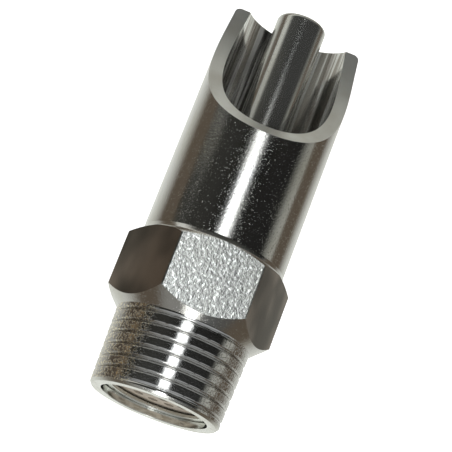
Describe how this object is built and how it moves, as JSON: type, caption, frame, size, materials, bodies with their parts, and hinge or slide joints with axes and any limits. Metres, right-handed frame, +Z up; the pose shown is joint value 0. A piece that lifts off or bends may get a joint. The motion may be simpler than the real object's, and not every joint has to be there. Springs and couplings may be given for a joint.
{
  "type": "bite nipple drinker",
  "caption": "Stainless steel bite nipple drinker for pigs: taper-threaded inlet, hexagon, scooped barrel mouth and a sprung bite pin that opens a rubber-seated valve.",
  "frame": {"origin": "on the surface the drinker lies on, under the middle of its bounding box", "axes": "+X along the drinker's axis, from the threaded inlet to the mouth; +Z up, out of the hexagon's top flat and the scooped side of the mouth"},
  "size_m": [0.0662, 0.0266, 0.023],
  "materials": {
    "body_steel": "turned and polished stainless steel",
    "pin_steel": "ground and polished stainless steel",
    "spring_steel": "drawn stainless wire",
    "ring_steel": "stamped stainless steel",
    "strainer_steel": "perforated stainless sheet",
    "rubber": "moulded black nitrile rubber",
    "plastic": "moulded natural acetal"
  },
  "bodies": {
    "root": {"drinker_body": "body_steel", "flow_plug": "plastic", "plug_o_ring": "rubber", "strainer_disc": "strainer_steel", "retaining_ring": "ring_steel"},
    "turning_seat": {"seat_gasket": "rubber"},
    "spring": {"valve_spring": "spring_steel"},
    "pin": {"bite_pin": "pin_steel"}
  },
  "joints": [
    {"name": "pin_turn", "type": "hinge", "parent": "root", "child": "turning_seat", "pos_m": [-0.0331, 0, 0.0115], "axis": [1, 0, 0], "continuous": true},
    {"name": "pin_push", "type": "slide", "parent": "turning_seat", "child": "spring", "axis": [-1, 0, 0], "range_m": [0, 0.002], "stiffness_N_per_m": 1200, "springref_m": -0.005, "deforming": ["valve_spring"]},
    {"name": "pin_tilt", "type": "hinge", "parent": "spring", "child": "pin", "pos_m": [-0.0155, -0.0066, 0.0115], "axis": [0, 0, 1], "range_deg": [0, 5.5], "stiffness_Nm_per_rad": 0.04, "springref_deg": -49.27}
  ]
}
